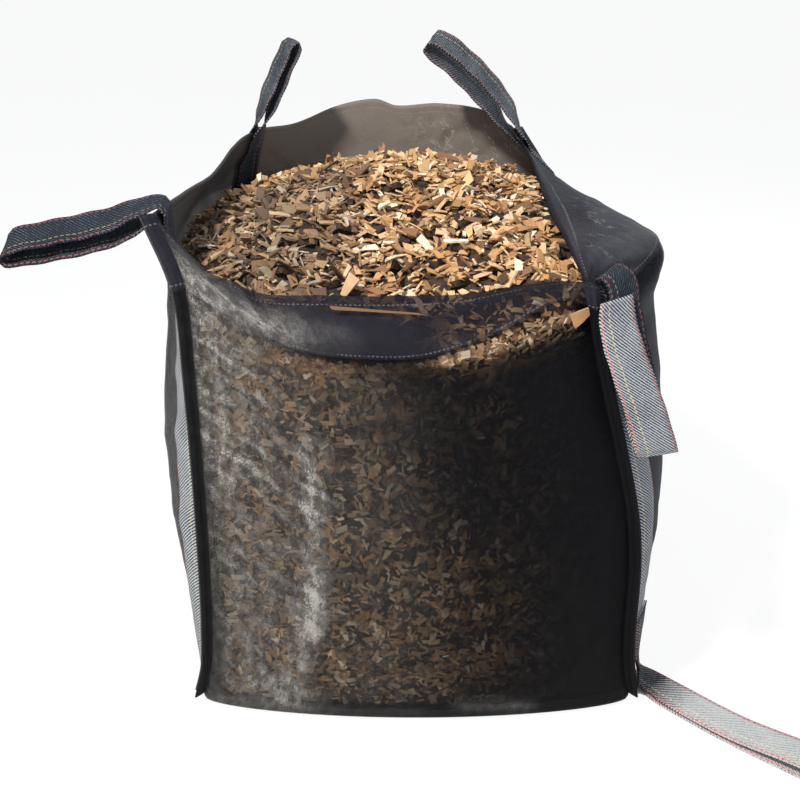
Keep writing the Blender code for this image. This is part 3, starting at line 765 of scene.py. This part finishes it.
def webbing_paint(name, dark, light, red, yellow):
    finish = Finish(name)
    spot = finish.uv()
    u, v = finish.split(spot)
    # Wear and painted light and shade: low values paint the webbing dark as shade, high ones pale
    # it
    wear_and_light = finish.attribute("wear_and_light")
    side = finish.cloud(spot, 34, 3, 0.6) * 0.0036
    rib = (u + v + side).wave(rib_width)
    fleck = finish.cloud(finish.stretched(spot, (1, 0.45, 1)), 420, 2, 0.8)
    patch = finish.cloud(spot, 14, 3, 0.6)
    pale = (rib * 0.50 + fleck * 0.95 + patch * 0.34 + wear_and_light * 0.55 - 1.04).ramp(0.0, 0.5)
    yarn = finish.mix(wear_and_light * 0.9, light, worn_and_lit_yarn)
    base = finish.mix(pale * (wear_and_light * 0.6 + 0.4), dark, yarn)
    dash = (v + u * 0.2).wave(dash_length).ramp(0.25, 0.45) * (wear_and_light * 0.7 + 0.3)
    base = finish.mix(u.band(-edge_thread, 0.0022) * dash, base, red)
    base = finish.mix(u.band(edge_thread, 0.0020) * dash * 0.8, base, red)
    base = finish.mix(u.band(inner_thread, 0.0019) * dash * 0.8, base, yellow)
    relief = finish.bump(rib, 0.0014, 0.9)
    relief = finish.bump(fleck, 0.0010, 0.6, under=relief)
    return finish.surface(Base_Color=base, Roughness=0.85, Normal=relief, Specular_IOR_Level=0.2)


strap_paint = webbing_paint("twill_paint", (0.008, 0.011, 0.018), (0.42, 0.47, 0.54),
                            (0.60, 0.16, 0.12), (0.62, 0.52, 0.22))
pale_paint = webbing_paint("bleached_twill_paint", (0.020, 0.022, 0.028), (0.62, 0.62, 0.61),
                           (0.62, 0.12, 0.10), (0.62, 0.55, 0.40))


# The lifting straps
# Each climbs the outside of a side panel, stands off as a loop and goes down inside.
# A loop's points are given from the rim's corner, each with the way its width lies.

webbing_width = 0.08
webbing_thickness = 0.003
webbing_gap = 0.0005
across_shares = np.linspace(-1, 1, 9)
middle_point = len(across_shares) // 2
corner_to_leg = 0.012
leg_middle = (corner_to_leg + webbing_width / 2) / base_depth
leg_half = webbing_width / 2 / base_depth


def strap_rows(legs_and_loop, step):
    """Fine rows of points through (middle, width direction) knots, with their runs along."""
    middles = np.array([np.array(place, float) for place, width in legs_and_loop])
    widths = np.array([unit(np.array(width, float)) for place, width in legs_and_loop])
    lengths = np.linalg.norm(np.diff(middles, axis=0), axis=1)
    shares = []
    for i, length in enumerate(lengths):
        count = max(int(length / step), 1)
        shares += [i + k / count for k in range(count)]
    shares = np.array(shares + [len(lengths)])
    knots = np.arange(len(middles))
    middle = curve_through(knots, middles, shares)
    width = unit(curve_through(knots, widths, shares))
    runs = np.concatenate(([0], np.cumsum(np.linalg.norm(np.diff(middle, axis=0), axis=1))))
    return middle, width, runs


def webbing_piece(name, rows, wear_and_light_at, paint):
    """Webbing through rows of points, with wear and painted light and shade as (run, level) knots.
    """
    spans = [0.0]
    for before, after in zip(rows, rows[1:]):
        step = np.linalg.norm(after[middle_point] - before[middle_point])
        spans.append(spans[-1] + float(step))
    across = across_shares * webbing_width / 2
    places = [np.stack((across, np.full_like(across, s)), axis=1) for s in spans]
    runs, wear_and_light_levels = zip(*wear_and_light_at)
    wear_and_light = [np.full_like(across, np.interp(s, runs, wear_and_light_levels)) for s in spans]
    piece = cloth_object(name, rows, places, webbing_thickness, paint, {"wear_and_light": wear_and_light})
    return piece


def end_knot(row):
    """The middle and the width direction of a row of points."""
    return row[middle_point], row[-1] - row[0]


inside_gap = 0.0015
inner_leg = (0.822, 0.96)
cup_depth = 0.0016
ripple_depth = 0.0012
ripple_turn = 95
ease_rows = 8
hung_step = 0.009


def lifting_strap(corner, wall_name, outer_top, free_points, wear_and_light_at, goes_inside=True):
    """A strap: its leg outside, its loop through free points and its leg inside."""
    wall = walls[wall_name]
    at_start = wall["ends"][0] == corner
    shares = leg_middle + across_shares * leg_half
    shares = shares if at_start else 1 - shares

    def leg(up, side):
        ups = np.full_like(shares, up)
        off = cloth_thickness(ups) / 2 + webbing_gap + webbing_thickness / 2
        off = side * (off + (inside_gap if side < 0 else 0))
        off = off + crease_relief(wall_name, shares, ups)
        return wall_points(wall, shares, ups) + wall_normals(wall, shares, ups) * off[:, None]

    outer = [leg(up, 1) for up in up_steps[::-1] if up <= outer_top]
    inner = []
    if goes_inside:
        inner = [leg(up, -1) for up in up_steps if inner_leg[0] <= up <= inner_leg[1]]
    rim = corner_point(corner, len(station_shares) - 1)
    knots = [end_knot(outer[-1])]
    knots += [(rim + np.array(offset), width) for offset, width in free_points]
    if goes_inside:
        knots.append(end_knot(inner[0]))
    middle, width, runs = strap_rows(knots, hung_step)
    tangent = unit(np.gradient(middle, axis=0))
    facing = unit(np.cross(tangent, width))
    loop = []
    last = len(middle) - 1 if goes_inside else len(middle)
    for i in range(1, last):
        fade = min(i, len(middle) - 1 - i, ease_rows) / ease_rows
        cup = cup_depth * fade * across_shares**2
        ripple = ripple_depth * fade * np.sin(runs[i] * ripple_turn + across_shares * 1.3)
        loop.append(
            middle[i]
            + width[i] * (across_shares * webbing_width / 2)[:, None]
            + facing[i] * (cup + ripple)[:, None]
        )
    piece = webbing_piece(f"webbing_{corner}", outer + loop + inner, wear_and_light_at, strap_paint)
    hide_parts(f"{corner}_lifting_strap")


to_back = (0, 1, 0)
tipped_back = (0, 1, 0.36)
turned_right = (0.42, -0.91, 0)
turned_left = (-0.32, -0.91, -0.26)

# The last table of each strap is its wear and painted light along its run, from the outer leg's
# foot. Its low stretches are painted shade: the top of the front right leg, the far layer of both
# front loops and the legs inside the bag.
lifting_strap("front_left", "left", 0.96, [
    ((0.001, 0.045, -0.024), to_back), ((-0.013, 0.046, -0.023), to_back),
    ((-0.036, 0.046, -0.034), (0, 1, 0.2)), ((-0.096, 0.046, -0.053), tipped_back),
    ((-0.170, 0.046, -0.070), tipped_back), ((-0.240, 0.046, -0.082), tipped_back),
    ((-0.270, 0.046, -0.084), tipped_back), ((-0.281, 0.046, -0.075), tipped_back),
    ((-0.270, 0.046, -0.065), tipped_back), ((-0.236, 0.046, -0.056), tipped_back),
    ((-0.165, 0.046, -0.042), tipped_back), ((-0.096, 0.046, -0.027), (0, 1, 0.36)),
    ((-0.044, 0.046, -0.007), (0, 1, 0.26)), ((-0.012, 0.047, 0.004), (0, 1, 0.14)),
    ((0.008, 0.047, 0.008), to_back), ((0.019, 0.045, -0.004), to_back),
], ((0, 0.8), (0.95, 0.8), (1.05, 0.1), (1.6, 0.05)))
lifting_strap("back_left", "left", 0.96, [
    ((-0.018, -0.051, 0.006), (-0.1, -1, 0.06)), ((-0.004, -0.051, 0.045), (0.25, -0.97, 0)),
    ((0.022, -0.052, 0.105), turned_right), ((0.052, -0.052, 0.168), turned_right),
    ((0.070, -0.053, 0.204), turned_right), ((0.084, -0.053, 0.212), turned_right),
    ((0.089, -0.053, 0.196), turned_right), ((0.061, -0.052, 0.136), turned_right),
    ((0.036, -0.052, 0.076), (0.36, -0.93, 0)), ((0.013, -0.051, 0.030), (0.15, -0.99, 0)),
    ((-0.001, -0.051, 0.002), (-0.2, -1, 0.06)),
], ((0, 0.5), (1.0, 0.25), (1.45, 0.3), (1.55, 0.0)))
lifting_strap("back_right", "right", 0.96, [
    ((0.018, -0.050, -0.006), (0.15, -1, -0.2)), ((0.003, -0.051, 0.020), (-0.08, -1, -0.2)),
    ((-0.024, -0.051, 0.066), (-0.26, -0.94, -0.24)), ((-0.074, -0.052, 0.126), turned_left),
    ((-0.130, -0.052, 0.178), turned_left), ((-0.172, -0.053, 0.209), turned_left),
    ((-0.197, -0.053, 0.217), turned_left), ((-0.208, -0.053, 0.204), turned_left),
    ((-0.196, -0.053, 0.188), turned_left), ((-0.150, -0.052, 0.152), turned_left),
    ((-0.101, -0.052, 0.105), turned_left), ((-0.057, -0.051, 0.058), (-0.28, -0.94, -0.24)),
    ((-0.029, -0.051, 0.022), (-0.10, -1, -0.2)), ((0.000, -0.050, -0.014), (0.15, -1, -0.2)),
], ((0, 0.5), (1.0, 0.35), (1.6, 0.35), (1.75, 0.0)))
lifting_strap("front_right", "right", 0.88, [
    ((0.035, 0.035, 0.0005), (0.58, 0.80, 0.16)), ((0.039, 0.029, 0.009), (0.60, 0.79, 0.14)),
    ((0.048, 0.020, 0.012), (0.64, 0.76, 0.1)), ((0.059, 0.010, 0.005), (0.69, 0.72, 0.08)),
    ((0.067, 0.000, -0.016), (0.74, 0.67, 0.05)), ((0.068, -0.014, -0.050), (0.84, 0.54, 0)),
    ((0.074, -0.030, -0.095), (0.92, 0.4, 0)), ((0.086, -0.040, -0.145), (0.95, 0.32, 0)),
    ((0.102, -0.046, -0.200), (0.96, 0.28, 0)), ((0.118, -0.050, -0.255), (0.97, 0.25, 0)),
    ((0.132, -0.057, -0.294), (0.97, 0.22, 0)), ((0.138, -0.072, -0.306), (0.97, 0.22, 0)),
    ((0.135, -0.088, -0.294), (0.97, 0.22, 0)), ((0.120, -0.093, -0.250), (0.97, 0.25, 0)),
    ((0.101, -0.092, -0.198), (0.96, 0.28, 0)), ((0.080, -0.085, -0.145), (0.95, 0.32, 0)),
    ((0.062, -0.068, -0.095), (0.92, 0.4, 0)), ((0.053, -0.042, -0.056), (0.87, 0.48, 0)),
    ((0.052, -0.0225, -0.024), (0.80, 0.60, 0.03)),
], ((0, 0.8), (0.55, 0.7), (0.85, 0.1), (1.18, 0.0), (1.24, 0.85), (1.6, 0.72)), goes_inside=False)


# The emptying loop
# Pale webbing sewn over the foot of the front right strap. Both of its layers lie on the
# floor, and it turns back on itself at the far end.

laid_step = 0.008
sewn_height = 0.18
over_start = 0.09
turn_run = 0.12
loop_run = 0.50
loop_turn = unit(np.array((0.745, -0.667, 0.0)))
under_run = ((0.004, 0.0088), (0.014, 0.0045), (0.034, 0.0036), (0.10, 0.0036), (0.24, 0.0036),
             (0.37, 0.0036))
end_bend = ((0.034, 0.005), (0.008, 0.010), (0.0, 0.019), (0.010, 0.028), (0.036, 0.030))
over_run = ((0.37, 0.025), (0.24, 0.014), (0.10, 0.0122), (0.046, 0.0128), (0.027, 0.0175),
            (0.016, 0.027), (0.0115, 0.042), (0.0125, 0.062))


def emptying_loop():
    wall = walls["right"]
    shares = leg_middle + across_shares * leg_half

    def sewn(up, layer):
        ups = np.full_like(shares, up)
        off = (cloth + webbing_thickness) / 2 + webbing_gap
        off = off + layer * (webbing_thickness + webbing_gap) + crease_relief("right", shares, ups)
        return wall_points(wall, shares, ups) + wall_normals(wall, shares, ups) * off[:, None]

    inner = [sewn(up, 1) for up in np.linspace(sewn_height, 0, 12)]
    outer = [sewn(up, 2) for up in np.linspace(over_start, sewn_height, 7)]
    foot = inner[-1][middle_point] * (1, 1, 0)
    turned = np.array((-loop_turn[1], loop_turn[0], 0))

    def on_floor(run, height):
        turning = min(run / turn_run, 1)
        bend = np.array((1, 0, 0)) * (1 - turning) + loop_turn * turning
        wide = np.array((0, 1, 0)) * (1 - turning) + turned * turning
        return foot + bend * run + np.array((0, 0, height)), wide

    free = [on_floor(run, height) for run, height in under_run]
    free += [on_floor(loop_run - back, height) for back, height in end_bend]
    free += [on_floor(run, height) for run, height in over_run]
    knots = [end_knot(inner[-1]), *free, end_knot(outer[0])]
    middle, width, _ = strap_rows(knots, laid_step)
    loop = [middle[i] + width[i] * (across_shares * webbing_width / 2)[:, None]
            for i in range(1, len(middle) - 1)]
    # Wear and painted light along the loop: pale on the floor, and the outer layer sewn on the
    # right wall painted dark as shade.
    piece = webbing_piece(
        "webbing_emptying_loop", inner + loop + outer,
        ((0, 0.8), (0.5, 1.2), (1.05, 1.2), (1.14, 0.25), (1.3, 0.25)),
        pale_paint)
    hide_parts("emptying_loop")


emptying_loop()


# The wood chips
# Split wood, poured in and heaped above the rim. The solid fill is painted in the dark shade
# seen between chips, and loose chips lie all over the heap and flat against the inside of the
# cloth. Chips on the heap's left are painted darker, as the left wall's shadow.

# Painted shade: the fill has the dark of the shade between chips, with paler crumbs
shadow_colour = (0.010, 0.005, 0.003)
crumb_colour = (0.060, 0.030, 0.014)
fill_paint = Finish("fill_paint")
spot = fill_paint.place()
crumbs = fill_paint.cloud(spot, 70, 3, 0.7)
fill_colour = fill_paint.mix(crumbs.ramp(0.35, 0.7), shadow_colour, crumb_colour)
fill_bump = fill_paint.bump(fill_paint.cloud(spot, 90, 3, 0.7), 0.006, 0.9)
fill_material = fill_paint.surface(Base_Color=fill_colour, Roughness=0.9, Normal=fill_bump)
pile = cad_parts["wood_chips"]
for material_slot in pile.material_slots:
    material_slot.material = fill_material

# Each step takes the tone from one colour to the next, from bark to fresh wood
bark_colour = (0.045, 0.024, 0.015)
wood_steps = (
    (0.00, 0.30, (0.200, 0.100, 0.048)), (0.28, 0.55, (0.480, 0.265, 0.110)),
    (0.55, 0.80, (0.680, 0.460, 0.245)), (0.80, 1.00, (0.830, 0.700, 0.520)),
)
streak_colour = (0.14, 0.070, 0.035)
# Colour a chip darkens towards by its shade value: painted shadow, and chips darker at random
chip_shade_colour = (0.050, 0.042, 0.038)
chip_paint = Finish("chip_paint")
tone = chip_paint.attribute("tone")
shade = chip_paint.attribute("shade")
along_grain = chip_paint.uv()
streak = chip_paint.cloud(chip_paint.stretched(along_grain, (12, 160, 1)), 6, 3, 0.65)
wood = bark_colour
for low, high, colour in wood_steps:
    wood = chip_paint.mix(tone.ramp(low, high), wood, colour)
wood = chip_paint.mix(streak.ramp(0.35, 0.75) * 0.5, wood, streak_colour)
# Painted shade: each chip is darkened by its shade value
wood = chip_paint.mix(shade, wood, chip_shade_colour)
chip_relief = chip_paint.bump(streak, 0.0012, 0.6)
chip_material = chip_paint.surface(Base_Color=wood, Roughness=0.8, Normal=chip_relief,
                                   Specular_IOR_Level=0.3)

dice = random.Random(5)


def chip_shape():
    """One split chip, a slab with slanting ends and a small bend: corner points and faces."""
    chip = bmesh.new()
    bmesh.ops.create_cube(chip, size=1)
    ring = [e for e in chip.edges if abs(e.verts[0].co.x - e.verts[1].co.x) > 0.5]
    bmesh.ops.subdivide_edges(chip, edges=ring, cuts=1)
    slant = dice.uniform(-0.5, 0.5)
    narrow = dice.uniform(0.0, 0.6)
    thin = dice.uniform(0.2, 0.9)
    for vert in chip.verts:
        x, y, z = vert.co
        middle = abs(x) < 0.1
        vert.co.x = x + slant * y * 0.4 + dice.uniform(-0.06, 0.06)
        vert.co.y = y * (1 - narrow * (x + 0.5)) + dice.uniform(-0.05, 0.05)
        vert.co.z = z * (1 - (1 - thin) * (0.5 - x)) + (0.25 if middle else 0)
    bmesh.ops.triangulate(chip, faces=chip.faces[:])
    chip.verts.index_update()
    points = np.array([tuple(v.co) for v in chip.verts])
    faces = np.array([[v.index for v in f.verts] for f in chip.faces])
    chip.free()
    return points, faces


chip_kinds = [chip_shape() for _ in range(14)]


def scatter(name, chips):
    """One piece of many chips: each has a middle, three axes, three sizes, tone and shade."""
    points, faces, uvs, tones, shades = [], [], [], [], []
    count = 0
    for middle, axes, size, tone_value, shade_value in chips:
        kind, sides = chip_kinds[dice.randrange(len(chip_kinds))]
        local = kind * np.array(size)
        points.append(local @ np.array(axes) + np.array(middle))
        faces.append(sides + count)
        start = dice.uniform(0, 5)
        uvs.append(local[:, :2] + np.array((start, start * 0.37)))
        tones.append(np.full(len(kind), tone_value))
        shades.append(np.full(len(kind), shade_value))
        count += len(kind)
    faces = np.concatenate(faces)
    uvs = np.concatenate(uvs)
    mesh = bpy.data.meshes.new(name)
    mesh.from_pydata(np.concatenate(points).tolist(), [], faces.tolist())
    for key, values in (("tone", tones), ("shade", shades)):
        layer = mesh.attributes.new(key, "FLOAT", "POINT")
        layer.data.foreach_set("value", np.concatenate(values).astype(np.float32))
    uv = mesh.uv_layers.new(name="cloth")
    uv.data.foreach_set("uv", uvs[faces.ravel()].ravel().astype(np.float32))
    mesh.materials.append(chip_material)
    piece = placed(name, mesh)
    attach(piece, "root")


# Limits of length, width and thickness
big_chip = ((0.030, 0.052), (0.012, 0.024), (0.003, 0.006))
small_chip = ((0.018, 0.032), (0.007, 0.015), (0.002, 0.005))
splinter = ((0.010, 0.030), (0.003, 0.007), (0.002, 0.004))
small_share = 0.42


def chip_size(big_share):
    """Length, width and thickness of a chance chip."""
    draw = dice.random()
    limits = splinter
    if draw < big_share:
        limits = big_chip
    elif draw < big_share + small_share:
        limits = small_chip
    return tuple(dice.uniform(low, high) for low, high in limits)


def chip_axes(normal, spread):
    """Axes of a chip that lies nearly flat on a surface, any way round."""
    up = Vector(normal).normalized()
    turn = Euler((dice.gauss(0, spread), dice.gauss(0, spread), dice.uniform(0, 2 * pi)))
    flat = up.to_track_quat("Z", "Y").to_matrix() @ turn.to_matrix()
    return [tuple(flat.col[i]) for i in range(3)]


def surface_under(x, y):
    """Height and slope of the heap at a place, from the CAD solid."""
    hit, place, normal, _ = pile.ray_cast(Vector((x, y, 2)), Vector((0, 0, -1)))
    return (place, normal) if hit else (None, None)


rim_line = np.concatenate([
    wall_points(wall, np.linspace(0, 1, 30)[:-1], np.ones(29))[:, :2] for wall in walls.values()
])


def inside_rim(x, y):
    """Whether a place lies inside the rim, seen from above."""
    after = np.roll(rim_line, -1, axis=0)
    crosses = (rim_line[:, 1] > y) != (after[:, 1] > y)
    slope = (y - rim_line[:, 1]) / np.where(crosses, after[:, 1] - rim_line[:, 1], 1)
    return (crosses & (x < rim_line[:, 0] + (after[:, 0] - rim_line[:, 0]) * slope)).sum() % 2 == 1


def clipped(value):
    return max(0.0, min(1.0, value))


# Chips on the heap keep clear of these points on the upper walls
rim_walls = np.concatenate([
    wall_points(wall, np.tile(np.linspace(0, 1, 60), 9), np.repeat(np.linspace(0.72, 1.0, 9), 60))
    for wall in walls.values()
])
heap_tries = 9500
heap_foot = 0.8
rim_foot = 0.9
least_upward = 0.2
wall_gap = 0.004
# Edges of the painted shadow that the left wall casts on the heap
wall_shadow_right, wall_shadow_back = -0.08, 0.26
stray_dark_share = 0.10
heap_chips = []
for _ in range(heap_tries):
    x, y = dice.uniform(-0.52, 0.50), dice.uniform(-0.52, 0.56)
    place, normal = surface_under(x, y)
    if place is None or normal.z < least_upward or place.z < heap_foot:
        continue
    if place.z > rim_foot and not inside_rim(x, y):
        continue
    size = chip_size(0.20)
    place = place + Vector((0, 0, dice.uniform(-0.002, 0.012)))
    nearest = np.linalg.norm(rim_walls - np.array(place), axis=1).min()
    if nearest < size[0] * 0.5 + wall_gap:
        continue
    lean = (normal + Vector((0, 0, 1.2))).normalized()
    # The heap's left is painted darker, as the shadow cast on it by the left wall
    wall_shadow = clipped((wall_shadow_right - x) / 0.10) * clipped((wall_shadow_back - y) / 0.2)
    shade_value = 0.75 * wall_shadow * dice.uniform(0.4, 1.0)
    shade_value += 0.4 if dice.random() < stray_dark_share else 0
    heap_chips.append((place, chip_axes(lean, 0.42), size,
                       clipped(dice.gauss(0.60, 0.24)), min(shade_value, 0.85)))
scatter("chips_on_heap", heap_chips)

# Chips pressed against the cloth, most of them behind the clearest wall
pressed_counts = {"front": 7600, "right": 2400, "back": 2400, "left": 2400}
pressed_scale = 0.58
for wall_name, wall in walls.items():
    draws = [
        (dice.uniform(0.03, 0.97), dice.uniform(0.02, wall["chip_line"]), chip_size(0.22),
         dice.uniform(0.010, 0.014))
        for _ in range(pressed_counts[wall_name])
    ]
    shares = np.array([draw[0] for draw in draws])
    ups = np.array([draw[1] for draw in draws])
    middles = wall_points(wall, shares, ups)
    normals = wall_normals(wall, shares, ups)
    pressed = []
    for (_, _, size, depth), middle, normal in zip(draws, middles, normals):
        size = tuple(pressed_scale * side for side in size)
        place = middle - normal * (depth + size[0] * 0.06)
        pressed.append((place, chip_axes(normal, 0.10), size,
                        clipped(dice.gauss(0.55, 0.27)), dice.uniform(0, 0.62)))
    scatter(f"chips_against_{wall_name}", pressed)

# One chip is caught beside the front right loop, and a twig lies along the hem
caught_off = 0.0075
caught_thickness = 0.005
caught = []
for share, up, length, width, tip, tone_value in (
    (0.965, 0.80, 0.040, 0.026, 0.7, 0.50),
    (0.50, 0.965, 0.150, 0.006, -0.06, 0.22),
):
    shares, ups = np.array((share, share + 0.01)), np.array((up, up))
    start, after = wall_points(walls["front"], shares, ups)
    normal = wall_normals(walls["front"], shares, ups)[0]
    side = unit(after - start)
    rise = np.cross(normal, side)
    axes = [side * cos(tip) + rise * sin(tip), rise * cos(tip) - side * sin(tip), normal]
    size = (length, width, caught_thickness)
    caught.append((start + normal * caught_off, axes, size, tone_value, 0.0))
scatter("chips_caught_on_cloth", caught)
